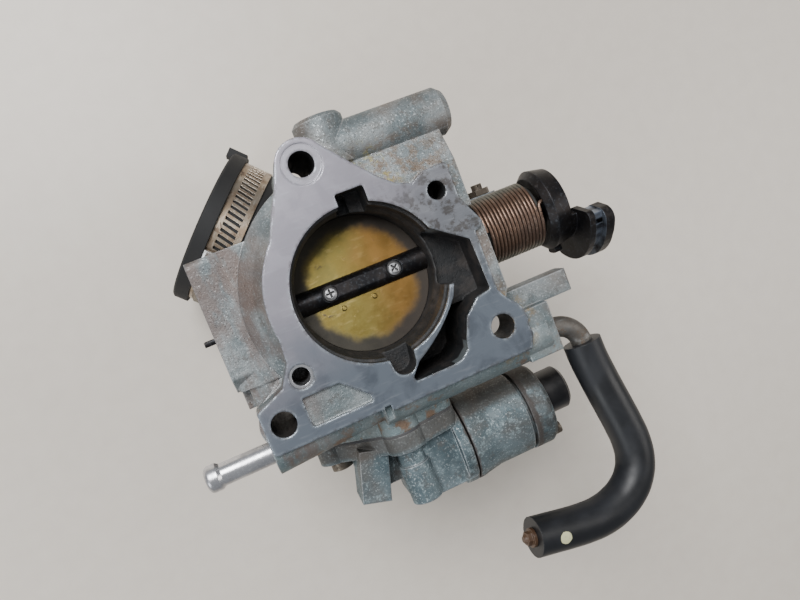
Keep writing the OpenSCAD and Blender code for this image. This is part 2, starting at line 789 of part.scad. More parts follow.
// A hollow tube along X, and one along Y
module tube_x(r, wall, x0, x1, y, z) {
    difference() {
        rod_x(r, x0, x1, y, z);
        rod_x(r - wall, x0 - 1, x1 + 1, y, z);
    }
}

module tube_y(r, wall, y0, y1, x, z) {
    difference() {
        rod_y(r, y0, y1, x, z);
        rod_y(r - wall, y0 - 1, y1 + 1, x, z);
    }
}

module coolant_pipe() {
    straight_x = hose_route[0][0] - pipe_bend_r;
    bend_y = coolant_y - pipe_bend_r;
    inner_x = coolant_right_x - socket_len + fit;
    color([0.42, 0.42, 0.41]) {
        tube_x(pipe_r, pipe_wall, inner_x, straight_x, coolant_y, coolant_z);
        translate([straight_x, bend_y, coolant_z]) rotate_extrude(angle = 90)
            translate([pipe_bend_r, 0]) difference() {
                circle(r = pipe_r);
                circle(r = pipe_r - pipe_wall);
            }
        tube_y(pipe_r, pipe_wall, bend_y - pipe_in_hose, bend_y, straight_x + pipe_bend_r, coolant_z);
    }
}

module coolant_hose() {
    color(rubber) swept(hose_route, hose_r, 12);
}

module hose_plug() {
    tip = hose_route[len(hose_route) - 1];
    back = hose_route[len(hose_route) - 2];
    way = unit(tip - back);
    color([0.2, 0.13, 0.08]) translate(tip) rotate([0, acos(way[2]), atan2(way[1], way[0])])
        union() {
            translate([0, 0, 0.05]) cylinder(r = 3.4, h = 1.2);
            cylinder(r = 2.5, h = 3, $fn = 6);
            translate([0, 0, 2.9]) cylinder(r1 = 1.9, r2 = 1.1, h = 1.1);
        }
}

// ---------- idle air valve ----------

module idle_valve_gasket() {
    color([0.12, 0.12, 0.13]) difference() {
        slab_y(valve_top_y + fit, pad_y - fit) pad_outline();
        valve_ports(valve_top_y - 1, pad_y + 1);
        for (p = pad_holes) rod_y(valve_screw_r + 0.3, valve_top_y - 1, pad_y + 1, p[0], p[1]);
    }
}

module valve_ports(y0, y1) {
    rod_y(port_r, y0, y1, port_front[0], port_front[1]);
    rod_y(port_r, y0, y1, port_rear[0], port_rear[1]);
}

module idle_valve_housing() {
    color(cast_grey) difference() {
        union() {
            slab_y(valve_flange_y, valve_top_y) pad_outline();
            // block with the air ways
            slab_y(block_bottom, valve_flange_y + 1) rounded(1.8) polygon([
                [block_x[0], block_z[0]], [block_x[0], -22.5], [-4.5, -21], [-3, block_z[1]],
                [block_x[1], block_z[1]], [block_x[1], block_z[0]]
            ]);
            // boss round the front screw, with a waist under the flange
            rod_y(5.8, block_bottom + 1.5, -68, pad_holes[0][0], pad_holes[0][1]);
            rod_y(4.8, -69, valve_flange_y + 1, pad_holes[0][0], pad_holes[0][1]);
            // turned mouth that the actuator bolts to
            intersection() {
                rod_x(mouth_r, block_x[1] - 4, block_x[1], actuator_y, actuator_z);
                box([0, 20], [-100, valve_top_y], [-100, 0]);
            }
            // square lug on the left and the web behind it
            translate([-19.4, -60, 0]) rotate(-17) box([-5.4, 5.4], [-18.4, 1], [-44, -20]);
            box([-26, -8], [-77, valve_flange_y + 1], [-44, -31]);
        }
        // front screw's counterbore
        rod_y(4.5, block_bottom - 1, front_seat_y, pad_holes[0][0], pad_holes[0][1]);
        // air ways and the valve's cavity
        rod_y(port_r, actuator_y, valve_top_y + 1, port_front[0], port_front[1]);
        rod_y(port_r, actuator_y, valve_top_y + 1, port_rear[0], port_rear[1]);
        rod_x(cavity_r, seat_x[1], actuator_x, actuator_y, actuator_z);
        rod_x(seat_r, seat_x[0] - 1, seat_x[1] + 1, actuator_y, actuator_z);
        rod_x(5, block_x[0] + 2.5, seat_x[0], actuator_y, actuator_z);
        rod_x(spigot_r + 0.1, block_x[1] - 3.6, block_x[1] + 1, actuator_y, actuator_z);
        for (p = pad_holes) rod_y(valve_screw_r + 0.3, -90, valve_top_y + 1, p[0], p[1]);
        long_holes(block_x[1] - 4.4, block_x[1] + 1, long_screw_r + fit);
        // room for the heads of the other screws
        for (k = [1:2]) rod_y(5, -90, valve_flange_y, pad_holes[k][0], pad_holes[k][1]);
    }
}

module idle_valve_screws() {
    color(plated) for (k = [0:2]) {
        p = pad_holes[k];
        rod_y(valve_screw_r, head_y[k] - 0.1, pad_y + pad_screw_depth - 0.5, p[0], p[1]);
        difference() {
            rod_y(4.2, head_y[k] - 4, head_y[k] - fit, p[0], p[1]);
            translate([p[0], head_y[k] - 1.6, p[1]]) rotate([90, 0, 0])
                cylinder(r = 2.2, h = 4, $fn = 6);
        }
    }
}

module idle_valve_oring() {
    color(rubber) turned_x(actuator_y, actuator_z)
        translate([spigot_r + joint_gap / 2 + 0.05, block_x[1] + joint_gap / 2])
            circle(r = joint_gap / 2 - fit, $fn = 24);
}

// Holes of the two long screws that hold the actuator together
module long_holes(x0, x1, r) {
    for (s = [-1, 1]) rod_x(r, x0, x1,
        actuator_y + s * long_screw_reach * cos(long_screw_turn),
        actuator_z + s * long_screw_reach * sin(long_screw_turn));
}

module idle_actuator() {
    end_x = actuator_end_x - collar_w - ring_gap;
    color(cast_grey) difference() {
        union() {
            turned_x(actuator_y, actuator_z) polygon([
                [0, actuator_x], [mouth_r, actuator_x], [mouth_r, actuator_x + 1.6],
                [actuator_r, actuator_x + 10], [actuator_r, end_x], [0, end_x]
            ]);
            rod_x(actuator_r - 1.6, end_x - 1, end_x + ring_gap, actuator_y, actuator_z);
            rod_x(spigot_r, actuator_x - 3.4, actuator_x + 1, actuator_y, actuator_z);
        }
        // cavity, web with the stem's hole, core chamber and coil bore
        rod_x(cavity_r, actuator_x - 5, web_x, actuator_y, actuator_z);
        rod_x(stem_r + 0.3, web_x - 1, core_x, actuator_y, actuator_z);
        rod_x(plunger_r + 0.35, web_x + 2, actuator_x + 6, actuator_y, actuator_z);
        rod_x(coil_r + 0.1, actuator_x + 5.6, end_x + ring_gap + 1, actuator_y, actuator_z);
        long_holes(actuator_x - 1, actuator_end_x, long_screw_r + 0.1);
    }
}

module idle_actuator_end() {
    x0 = actuator_end_x - collar_w;
    color(cast_grey) difference() {
        turned_x(actuator_y, actuator_z) polygon([
            [0, x0 + fit], [actuator_r + 0.3, x0 + fit], [actuator_r + 0.3, actuator_end_x - 1.6],
            [actuator_r - 0.8, actuator_end_x], [0, actuator_end_x]
        ]);
        rod_x(plunger_r + 0.35, x0 - 1, core_x + core_len + plunger_travel + 1, actuator_y, actuator_z);
        long_holes(x0 - 1, actuator_end_x + 1, long_screw_r + 0.1);
    }
}

module idle_actuator_cap() {
    color(black) difference() {
        turned_x(cap_y, actuator_z) polygon([
            [0, actuator_end_x + fit], [cap_r, actuator_end_x + fit],
            [cap_r, actuator_end_x + cap_len - 1.2], [cap_r - 1.2, actuator_end_x + cap_len],
            [0, actuator_end_x + cap_len]
        ]);
        difference() {
            rod_x(cap_r - 1.6, actuator_end_x + 2.5, actuator_end_x + cap_len + 1, cap_y, actuator_z);
            box([actuator_end_x, actuator_end_x + cap_len - 2], [cap_y - 3.5, cap_y + 3.5],
                [actuator_z - 1.2, actuator_z + 1.2]);
        }
    }
}

module idle_actuator_screws() {
    color(plated) {
        long_holes(block_x[1] - 4, actuator_end_x + 0.5, long_screw_r);
        difference() {
            long_holes(actuator_end_x + fit, actuator_end_x + 2.4, 2.3);
            translate([0, actuator_y, actuator_z]) rotate([long_screw_turn, 0, 0])
                box([actuator_end_x + 1.4, actuator_end_x + 4], [-20, 20], [-0.4, 0.4]);
        }
    }
}

module idle_coil() {
    x0 = actuator_x + 6;
    x1 = actuator_end_x - collar_w - 0.5;
    color([0.55, 0.28, 0.14]) difference() {
        rod_x(coil_r, x0, x1, actuator_y, actuator_z);
        rod_x(plunger_r + running_gap, x0 - 1, x1 + 1, actuator_y, actuator_z);
    }
}

module idle_plunger() {
    color(steel) turned_x(actuator_y, actuator_z) polygon([
        [0, seat_x[0] - 3], [1.2, seat_x[0] - 3], [seat_r - 0.4, seat_x[1] - 0.4],
        [seat_r - 0.4, seat_x[1] + 0.3], [seat_r + 1.4, seat_x[1] + 0.3], [seat_r + 1.4, plunger_head_x - 1],
        [stem_r, plunger_head_x], [stem_r, core_x], [plunger_r, core_x], [plunger_r, core_x + core_len],
        [0, core_x + core_len]
    ]);
}

module idle_plunger_spring() {
    wire_r = 0.4;
    x0 = plunger_head_x + wire_r + 0.1;
    x1 = web_x - wire_r - 0.1;
    turns = 4;
    steps = 20;
    path = [for (i = [0:steps * turns]) let (a = i * 360 / steps)
        [x0 + (x1 - x0) * i / (steps * turns), actuator_y + 3.8 * cos(a), actuator_z + 3.8 * sin(a)]];
    color(steel) swept(path, wire_r, 6);
}

// ---------- idle adjusting screw ----------

module idle_adjust_screw() {
    color(brass) difference() {
        turned_x(tube_y, tube_z) polygon([
            [0, 12], [0.8, 12], [2.2, 19], [2.8, 19.5], [2.8, 24], [tube_bore_r - 0.05, 24],
            [tube_bore_r - 0.05, 33], [2.9, 33], [2.9, 35.4], [tube_bore_r - 0.05, 35.4],
            [tube_bore_r - 0.05, 41], [0, 41]
        ]);
        translate([39.4, tube_y - 0.5, tube_z - 6]) cube([4, 1, 12]);
    }
}

module adjust_screw_oring() {
    color(rubber) turned_x(tube_y, tube_z)
        translate([3.44, 34.2]) circle(r = 0.5, $fn = 24);
}

// ---------- inlet elbow ----------

// Children are drawn with the open end along +X and the bore axis along Z
module inlet_frame() {
    rotate(elbow_turn) children();
}

module inlet_elbow() {
    color(rubber) inlet_frame() {
        // sleeve over the casting's collar
        rotate_extrude() polygon([
            [collar_r + fit, sleeve_top], [sleeve_r, sleeve_top], [sleeve_r, bend_z + 2], [elbow_r, bend_z],
            [elbow_in_r, bend_z], [elbow_in_r, -body_depth - fit], [collar_r + fit, -body_depth - fit]
        ]);
        translate([bend_r, 0, bend_z]) rotate([90, 0, 0]) rotate(180) rotate_extrude(angle = 90)
            translate([bend_r, 0]) difference() {
                circle(r = elbow_r);
                circle(r = elbow_in_r);
            }
        // straight open end with its lip
        turned_x(0, elbow_z) polygon([
            [elbow_in_r, bend_r], [elbow_r, bend_r], [elbow_r, elbow_reach - lip_w],
            [lip_r, elbow_reach - lip_w], [lip_r, elbow_reach - 0.8], [lip_r - 0.8, elbow_reach],
            [elbow_in_r, elbow_reach]
        ]);
        // moulded tab on the lip
        box([elbow_reach - lip_w + 1, elbow_reach + 3], [-lip_r - 1.2, -lip_r + 3],
            [elbow_z - 4, elbow_z + 4]);
    }
}

// A worm-drive clamp drawn round the X axis, starting at x = 0, with its screw at the top
module clamp_band(r) {
    difference() {
        rod_x(r + band_t, 0, band_w, 0, 0);
        rod_x(r + fit, -1, band_w + 1, 0, 0);
    }
}

module clamp_housing(r) {
    difference() {
        union() {
            translate([-1.2, -7.5, r + band_t + 0.4]) cube([band_w + 1, 15, 1]);
            rod_y(4.6, -7, 7, band_w / 2, r + band_t + 5.4);
            translate([band_w / 2 - 4.6, -7, r + band_t + 0.6]) cube([9.2, 14, 4.8]);
        }
        rod_x(r + band_t + fit, -3, band_w + 3, 0, 0);
        rod_y(3.6, -6, 6, band_w / 2, r + band_t + 5.4);
        rod_y(2.6, -8, 8, band_w / 2, r + band_t + 5.4);
    }
}

module clamp_screw(r) {
    at = [band_w / 2, r + band_t + 5.4];
    rod_y(3.5, -5.9, 5.9, at[0], at[1]);
    rod_y(2.5, -7.2, 8, at[0], at[1]);
    difference() {
        translate([at[0], 12, at[1]]) rotate([90, 0, 0]) hex_head(7, 4.4);
        translate([at[0] - 4, 10.9, at[1] - 0.5]) cube([8, 2, 1]);
    }
}

module inlet_clamp_frame() {
    inlet_frame() translate([band_from, 0, elbow_z]) rotate([clamp_angle - 180, 0, 0]) children();
}

module collar_clamp_frame() {
    translate([0, 0, collar_clamp_z]) rotate([0, 90, 0]) rotate([-62, 0, 0]) children();
}

module inlet_clamp_band() {
    color(steel) inlet_clamp_frame() clamp_band(elbow_r);
}

module inlet_clamp_housing() {
    color(steel) inlet_clamp_frame() clamp_housing(elbow_r);
}

module inlet_clamp_screw() {
    color(plated) inlet_clamp_frame() clamp_screw(elbow_r);
}

module collar_clamp_band() {
    color(steel) collar_clamp_frame() clamp_band(sleeve_r);
}

module collar_clamp_housing() {
    color(steel) collar_clamp_frame() clamp_housing(sleeve_r);
}

module collar_clamp_screw() {
    color(plated) collar_clamp_frame() clamp_screw(sleeve_r);
}

throttle_body();
throttle_shaft();
throttle_plate();
plate_screws();
shaft_bearing_left();
shaft_bearing_right();
shaft_seals();
return_spring();
spring_guide();
cable_lever();
lever_washer();
lever_nut();
stop_screw();
stop_screw_nut();
dowel_sleeve();
coolant_nipple();
coolant_pipe();
coolant_hose();
hose_plug();
idle_valve_housing();
idle_valve_gasket();
idle_valve_screws();
idle_actuator();
idle_actuator_end();
idle_actuator_cap();
idle_actuator_screws();
idle_valve_oring();
idle_coil();
idle_plunger();
idle_plunger_spring();
idle_adjust_screw();
adjust_screw_oring();
boss_plug();
inlet_elbow();
inlet_clamp_band();
inlet_clamp_housing();
inlet_clamp_screw();
collar_clamp_band();
collar_clamp_housing();
collar_clamp_screw();
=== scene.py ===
# %% [markdown]
# A cable-operated throttle body, seen from its manifold side.
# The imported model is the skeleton: it already holds every real shape at its real size, in metres.
# It could be modelled again by hand, but then holes and shafts would drift from the real ones,
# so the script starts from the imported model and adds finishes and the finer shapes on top.

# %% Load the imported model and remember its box
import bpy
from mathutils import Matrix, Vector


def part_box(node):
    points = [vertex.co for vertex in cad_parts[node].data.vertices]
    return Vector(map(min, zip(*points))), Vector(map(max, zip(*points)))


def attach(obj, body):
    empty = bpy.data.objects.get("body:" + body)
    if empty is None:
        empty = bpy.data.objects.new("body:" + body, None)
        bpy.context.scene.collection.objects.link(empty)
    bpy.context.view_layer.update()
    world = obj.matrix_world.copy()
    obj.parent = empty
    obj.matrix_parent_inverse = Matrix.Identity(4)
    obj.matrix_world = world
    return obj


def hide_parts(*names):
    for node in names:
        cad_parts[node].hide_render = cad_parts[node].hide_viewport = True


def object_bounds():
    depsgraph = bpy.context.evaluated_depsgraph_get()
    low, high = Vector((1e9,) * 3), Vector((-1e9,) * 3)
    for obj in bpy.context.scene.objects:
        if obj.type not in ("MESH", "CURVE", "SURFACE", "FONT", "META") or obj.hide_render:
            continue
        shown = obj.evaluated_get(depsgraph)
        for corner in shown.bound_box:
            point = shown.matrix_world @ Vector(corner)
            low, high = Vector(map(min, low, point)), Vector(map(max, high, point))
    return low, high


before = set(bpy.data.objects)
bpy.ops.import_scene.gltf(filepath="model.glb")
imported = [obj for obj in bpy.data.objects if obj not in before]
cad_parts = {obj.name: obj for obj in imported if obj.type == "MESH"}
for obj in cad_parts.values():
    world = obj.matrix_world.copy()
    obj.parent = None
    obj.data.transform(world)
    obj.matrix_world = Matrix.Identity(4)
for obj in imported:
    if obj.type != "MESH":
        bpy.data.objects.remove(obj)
packed_box = [list(corner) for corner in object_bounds()]
print("packed box", packed_box)

# %% Tools that every cell uses
import math
import bpy
import bmesh
from mathutils import Matrix, Vector

mm = 0.001
casting, throttle = "casting", "throttle"

# %% [markdown]
# The camera comes first, because the loose hose is checked against its view.
# It looks down at the manifold face from a hand's height above, tilted a little to the left.
# A camera could be aimed with a constraint; here its three directions are written as a matrix,
# so the same numbers always give the same picture.

# %% Camera above the manifold face
def look(name, place, right, up, forward, lens):
    data = bpy.data.cameras.new(name)
    data.lens, data.sensor_width, data.clip_start = lens, 36, 0.01
    camera = bpy.data.objects.new(name, data)
    axes = Matrix((right, up, [-c for c in forward])).transposed().to_4x4()
    camera.matrix_world = Matrix.Translation(Vector(place) * mm) @ axes
    bpy.context.collection.objects.link(camera)
    bpy.context.scene.camera = camera
    return camera

camera = look("camera", (-36.7, 15.73, 231.42), (0.908, -0.363, 0.210), (0.377, 0.926, -0.029),
              (0.184, -0.105, -0.977), 31.5)
print("camera at", [round(c, 3) for c in camera.location], "lens", camera.data.lens)

# %% [markdown]
# Materials are made of nodes. A node tree is easier to read as a formula, so a small class
# wraps one output of a node: an expression such as 1 - mask then adds the Math nodes by itself.
# Colours and vectors go through Vector Math and Mix, because a Math node would turn them grey.

# %% Wires and finishes
class Wire:
    """One output of a node, ready to stand in a formula."""

    def __init__(self, finish, socket):
        self.finish, self.socket = finish, socket

    def __add__(self, other): return self.finish.sum("ADD", self, other)
    def __radd__(self, other): return self.finish.sum("ADD", other, self)
    def __sub__(self, other): return self.finish.sum("SUBTRACT", self, other)
    def __rsub__(self, other): return self.finish.sum("SUBTRACT", other, self)
    def __mul__(self, other): return self.finish.sum("MULTIPLY", self, other)
    def __rmul__(self, other): return self.finish.sum("MULTIPLY", other, self)
    def __truediv__(self, other): return self.finish.sum("DIVIDE", self, other)
    def __rtruediv__(self, other): return self.finish.sum("DIVIDE", other, self)


class Finish:
    """A material, its node tree and the ways to add nodes to it."""

    def __init__(self, name):
        self.material = bpy.data.materials.new(name)
        self.material.use_nodes = True
        self.tree = self.material.node_tree
        self.tree.nodes.clear()
        self.place = self.node("ShaderNodeTexCoord", out="Object")

    def node(self, kind, settings=None, sockets=None, out=0):
        made = self.tree.nodes.new(kind)
        for key, value in (settings or {}).items():
            if key == "stops":
                stops = made.color_ramp.elements
                while len(stops) < len(value):
                    stops.new(1)
                for stop, (where, colour) in zip(stops, value):
                    stop.position, stop.color = where, colour
            else:
                setattr(made, key, value)
        for key, value in (sockets or {}).items():
            socket = made.inputs[key]
            if isinstance(value, Wire):
                self.tree.links.new(value.socket, socket)
            elif socket.type == "VECTOR" and not hasattr(value, "__len__"):
                socket.default_value = (value, value, value)
            elif socket.type == "RGBA":
                socket.default_value = (*value[:3], 1)
            else:
                socket.default_value = value
        return Wire(self, made.outputs[out]) if len(made.outputs) else None

    def sum(self, operation, left, right):
        wide = any(isinstance(w, Wire) and w.socket.type in ("VECTOR", "RGBA") or isinstance(w, tuple)
                   for w in (left, right))
        kind = "ShaderNodeVectorMath" if wide else "ShaderNodeMath"
        return self.node(kind, {"operation": operation}, {0: left, 1: right})

    def most(self, a, b): return self.sum("MAXIMUM", a, b)

    def mix(self, amount, a, b, way="MIX"):
        return self.node("ShaderNodeMix", {"data_type": "RGBA", "blend_type": way},
                         {0: amount, 6: a, 7: b}, out=2)

    def rise(self, value, low, high):
        """0 below low, 1 above high, and smooth between them."""
        return self.node("ShaderNodeMapRange", {"interpolation_type": "SMOOTHSTEP"},
                         {0: value, 1: low, 2: high, 3: 0.0, 4: 1.0})

    def cloud(self, size, detail=4.0, roughness=0.55, stretch=None, twist=0.0):
        """Soft noise with patches of about that size in millimetres."""
        where = self.place * stretch if stretch else self.place
        return self.node("ShaderNodeTexNoise", None,
                         {"Vector": where, "Scale": 1000 / size, "Detail": detail,
                          "Roughness": roughness, "Distortion": twist})

    def grains(self, size, feature="F1", out="Distance"):
        """Cells of about that size in millimetres."""
        return self.node("ShaderNodeTexVoronoi", {"feature": feature},
                         {"Vector": self.place, "Scale": 1000 / size}, out=out)

    def axes(self):
        split = self.node("ShaderNodeSeparateXYZ", None, {0: self.place})
        return [Wire(self, split.socket.node.outputs[k]) for k in range(3)]

    def reach(self, point, flat=(1, 1, 1)):
        """Distance from a point, or from a line where one of flat is 0, in metres."""
        away = (self.place - tuple(c * mm for c in point)) * flat
        return self.node("ShaderNodeVectorMath", {"operation": "LENGTH"}, {0: away}, out="Value")

    def edges(self, radius):
        """Rounded normal, and a mask that is 1 on edges of about that radius in millimetres."""
        soft = self.node("ShaderNodeBevel", {"samples": 4}, {"Radius": radius * mm})
        hard = self.node("ShaderNodeNewGeometry", out="True Normal")
        same = self.node("ShaderNodeVectorMath", {"operation": "DOT_PRODUCT"}, {0: soft, 1: hard},
                         out="Value")
        return soft, self.rise(1 - same, 0.02, 0.25)

    def relief(self, height, depth, normal=None, strength=1.0):
        sockets = {"Height": height, "Distance": depth * mm, "Strength": strength}
        if normal is not None:
            sockets["Normal"] = normal
        return self.node("ShaderNodeBump", None, sockets)

    def shade(self, **sockets):
        """The shader itself. A fixed number is set on its socket and a wire is linked to it."""
        named = {key.replace("_", " ").title(): value for key, value in sockets.items()}
        shader = self.node("ShaderNodeBsdfPrincipled", None, named)
        self.node("ShaderNodeOutputMaterial", None, {"Surface": shader})
        return self.material

print("one class for wires, one for finishes")

# %% [markdown]
# The loose coolant hose is one fixed length of soft tube. It starts on the bent steel pipe, drops
# beside the idle valve and curls under it to its plug. A tube could be a mesh, but a curve with
# round thickness keeps its length exact, so the hose is one open spline through the route's points.

# %% Hose curve
hose_route = [
    (67, -50.6, -9), (67.2, -57, -8.8), (67.8, -64, -8.2), (68.5, -71, -7.4), (69.3, -78, -6.6),
    (70, -85, -5.8), (70.2, -91.5, -5), (69, -98, -4.2), (65.8, -103.5, -3.4), (60.8, -107.6, -2.6),
    (54.5, -110, -1.8), (47.5, -110.8, -1), (40.5, -110, -0.2), (33.5, -108.5, 0.5),
    (26.5, -106.7, 1.2), (20, -105, 2)]

def tube_curve(name, points, radius, sides=8, caps=True, turns=8):
    data = bpy.data.curves.new(name, "CURVE")
    data.dimensions, data.bevel_depth, data.bevel_resolution = "3D", 1.0, sides
    data.use_fill_caps, data.resolution_u = caps, turns
    spline = data.splines.new("BEZIER")
    spline.bezier_points.add(len(points) - 1)
    for knot, point in zip(spline.bezier_points, points):
        knot.co = Vector(point) * mm
        knot.radius = radius * mm
        knot.handle_left_type = knot.handle_right_type = "AUTO"
    thing = bpy.data.objects.new(name, data)
    bpy.context.collection.objects.link(thing)
    return thing

hose = tube_curve("loose_hose", hose_route, 7.2)
hose_length = sum(math.dist(a, b) for a, b in zip(hose_route, hose_route[1:])) * mm
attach(hose, casting)
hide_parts("coolant_hose")
print("hose", round(hose_length, 4), "m long")

# %% [markdown]
# The object lies on a pale table in soft light. A floor could be a coloured world background,
# but then nothing would catch the shadow that shows where the object lies, so it is a wide plane
# at the height of the lowest piece, with one large soft lamp above and two weaker ones.

# %% Floor, lamps and sky
def plane(name, size, height):
    mesh = bmesh.new()
    bmesh.ops.create_grid(mesh, x_segments=8, y_segments=8, size=size / 2)
    data = bpy.data.meshes.new(name)
    mesh.to_mesh(data)
    mesh.free()
    thing = bpy.data.objects.new(name, data)
    thing.location.z = height
    bpy.context.collection.objects.link(thing)
    return thing

floor = plane("floor", 6, packed_box[0][2] - 0.0004)
table = Finish("pale_table")
pores = table.cloud(9, 5)
floor.data.materials.append(table.shade(
    base_color=table.mix(pores, (0.66, 0.595, 0.52), (0.74, 0.68, 0.60)), roughness=0.42))

def lamp(name, place, aim, size, power, colour=(1, 1, 1)):
    data = bpy.data.lights.new(name, "AREA")
    data.shape, data.size, data.energy, data.color = "DISK", size, power, colour
    thing = bpy.data.objects.new(name, data)
    thing.location = place
    thing.rotation_euler = (Vector(aim) - Vector(place)).to_track_quat("-Z", "Y").to_euler()
    bpy.context.collection.objects.link(thing)

lamp("soft_above", (-0.25, 0.55, 0.85), (0, 0, -0.03), 0.6, 15)
lamp("soft_right", (0.75, -0.1, 0.55), (0, 0, -0.03), 0.5, 2.4, (1, 0.97, 0.93))
lamp("soft_left", (-0.8, -0.35, 0.45), (0, 0, -0.03), 0.5, 2.6, (0.93, 0.97, 1))
sky = bpy.data.worlds.new("pale_sky")
bpy.context.scene.world = sky
sky.use_nodes = True
sky.node_tree.nodes["Background"].inputs["Color"].default_value = (0.86, 0.90, 0.95, 1)
sky.node_tree.nodes["Background"].inputs["Strength"].default_value = 0.34
print("floor at", round(floor.location.z, 4), "m, three lamps")

# %% [markdown]
# The main casting is sand-cast aluminium. Its skin is grainy and has gone dull in blue-green,
# brown and rust, its edges are knocked bright, the manifold face is milled flat and satin, and
# everything that the intake air touched is dark with oily carbon.
# Each zone could be a separate material on its own faces. The zones are places in space here,
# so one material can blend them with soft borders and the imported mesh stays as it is.

# %% Casting finish
def cast_metal(skin, worn, chalky=(0.155, 0.185, 0.195), pale=(0.31, 0.33, 0.335),
               warm=(0.21, 0.155, 0.12)):
    """Colour, roughness and height of a sand-cast skin."""
    patches = skin.rise(skin.cloud(14, 5, 0.6), 0.36, 0.66)
    blotches = skin.rise(skin.cloud(27, 4, 0.6, twist=0.5), 0.48, 0.66)
    grain = skin.cloud(0.9, 3, 0.7)
    pits = skin.rise(skin.grains(0.9), 0.02, 0.30)
    colour = skin.mix(patches, chalky, pale)
    colour = skin.mix(blotches * 0.66, colour, warm)
    grime = skin.rise(skin.cloud(5, 6, 0.75), 0.54, 0.66)
    colour = skin.mix(grime * 0.6, colour, (0.12, 0.11, 0.10))
    speckle = skin.rise(skin.cloud(0.8, 2, 0.85), 0.55, 0.70)
    colour = skin.mix(speckle * 0.5, colour, (0.66, 0.71, 0.73))
    colour = skin.mix((1 - pits) * 0.35, colour, (0.10, 0.09, 0.08))
    colour = skin.mix(worn * 0.75, colour, (0.83, 0.84, 0.85))
    height = grain * 0.6 + pits * 0.4 + skin.cloud(4.5, 2) * 0.5
    rough = 0.62 - worn * 0.22 - speckle * 0.18
    return colour, rough, height

def inside(skin, sides):
    """1 inside a hollow bounded by straight sides, each (normal x, normal y, distance in mm)."""
    x, y, _ = skin.axes()
    mask = None
    for across, along, limit in sides:
        side = 1 - skin.rise(x * across + y * along, limit * mm, (limit + 0.5) * mm)
        mask = side if mask is None else mask * side
    return mask

cast = Finish("cast_alloy")
soft_normal, edge = cast.edges(0.9)
x, y, z = cast.axes()
flat_normal = cast.node("ShaderNodeNewGeometry", out="True Normal")
facing = cast.node("ShaderNodeSeparateXYZ", None, {0: flat_normal}, out="Z")
milled_mask = cast.rise(z, -0.0004, -0.0002) * cast.rise(facing, 0.6, 0.9)
colour, rough, height = cast_metal(cast, edge)

# Rust and yellow stains gather in the valley between the milled face and the upper tube
valley = 1 - cast.rise(cast.reach((24, 26, -4), (1, 1, 1)), 0.010, 0.030)
stain = valley * cast.rise(cast.cloud(4, 6, 0.7), 0.44, 0.60)
colour = cast.mix(stain * 0.55, colour, (0.20, 0.115, 0.055))
fringe = 1 - cast.rise(cast.reach((13, 33.5, -4), (1, 1, 1)), 0.006, 0.015)
yellow = fringe * cast.rise(cast.cloud(3, 5, 0.7), 0.50, 0.62)
colour = cast.mix(yellow * 0.5, colour, (0.40, 0.35, 0.10))
# The lower side weathers blue-green, the left shoulder pinkish brown
low = 1 - cast.rise(y, -0.055, -0.025)
colour = cast.mix(low * 0.5, colour, (0.165, 0.24, 0.255))
streaks = cast.cloud(9, 5, 0.6, stretch=(1, 0.4, 0.4))
shoulder = (1 - cast.rise(x, -0.040, -0.022)) * cast.rise(streaks, 0.42, 0.58)
colour = cast.mix(shoulder * 0.62, colour, (0.185, 0.13, 0.11))
bolt_stain = (1 - cast.rise(cast.reach((37.7, -31.6, -4), (1, 1, 1)), 0.009, 0.017)) * cast.rise(
    cast.cloud(3, 5, 0.7), 0.44, 0.60)
colour = cast.mix(bolt_stain * 0.8, colour, (0.30, 0.20, 0.075))
low_rust = (1 - cast.rise(y, -0.052, -0.034)) * cast.rise(cast.cloud(8, 5, 0.7), 0.52, 0.64)
colour = cast.mix(low_rust * 0.75, colour, (0.22, 0.12, 0.06))

# Milled face: satin with faint swirl marks, a gasket's shadow and dirt along its border
border = cast.node("ShaderNodeBevel", {"samples": 4}, {"Radius": 2.4 * mm})
near_edge = cast.rise(1 - cast.node("ShaderNodeVectorMath", {"operation": "DOT_PRODUCT"},
                      {0: border, 1: (0, 0, 1)}, out="Value"), 0.004, 0.20)
smudges = cast.rise(cast.cloud(11, 5, 0.6, twist=0.5), 0.44, 0.70)
scratches = cast.cloud(2.2, 4, 0.6, stretch=(0.18, 1.6, 1))
# Painted reflection: the flat face is lighter lavender towards the upper left, darker steel blue lower down
# and greyer to the right; real smudges vary each tone
lit_lavender_smudged = cast.mix(smudges, (0.50, 0.475, 0.535), (0.37, 0.355, 0.40))
shaded_steel_blue_smudged = cast.mix(smudges, (0.25, 0.285, 0.335), (0.125, 0.145, 0.175))
wander = (cast.cloud(22, 4, 0.6) - 0.5) * 0.045
milled = cast.mix(cast.rise(y + wander - x * 0.35, -0.026, 0.016), shaded_steel_blue_smudged, lit_lavender_smudged)
grey_side = cast.rise(x + wander, 0.008, 0.030) * cast.rise(y, -0.020, 0.004)
milled = cast.mix(grey_side * 0.65, milled, (0.25, 0.265, 0.28))
film = grey_side * cast.rise(cast.cloud(4, 6, 0.7), 0.48, 0.60)
milled = cast.mix(film * 0.7, milled, (0.10, 0.085, 0.07))
milled = cast.mix(cast.rise(scratches, 0.54, 0.72) * 0.22, milled, (0.62, 0.65, 0.70))
glint = near_edge * cast.rise(cast.cloud(6, 4, 0.6), 0.40, 0.56)
milled = cast.mix(glint * 0.6, milled, (0.60, 0.68, 0.74))
dirt = near_edge * cast.rise(cast.cloud(3.5, 5, 0.7, twist=0.3), 0.46, 0.58)
milled = cast.mix(dirt * 0.8, milled, (0.075, 0.06, 0.05))
colour = cast.mix(milled_mask, colour, milled)
rough = rough * (1 - milled_mask) + (0.30 + smudges * 0.12 + dirt * 0.2) * milled_mask
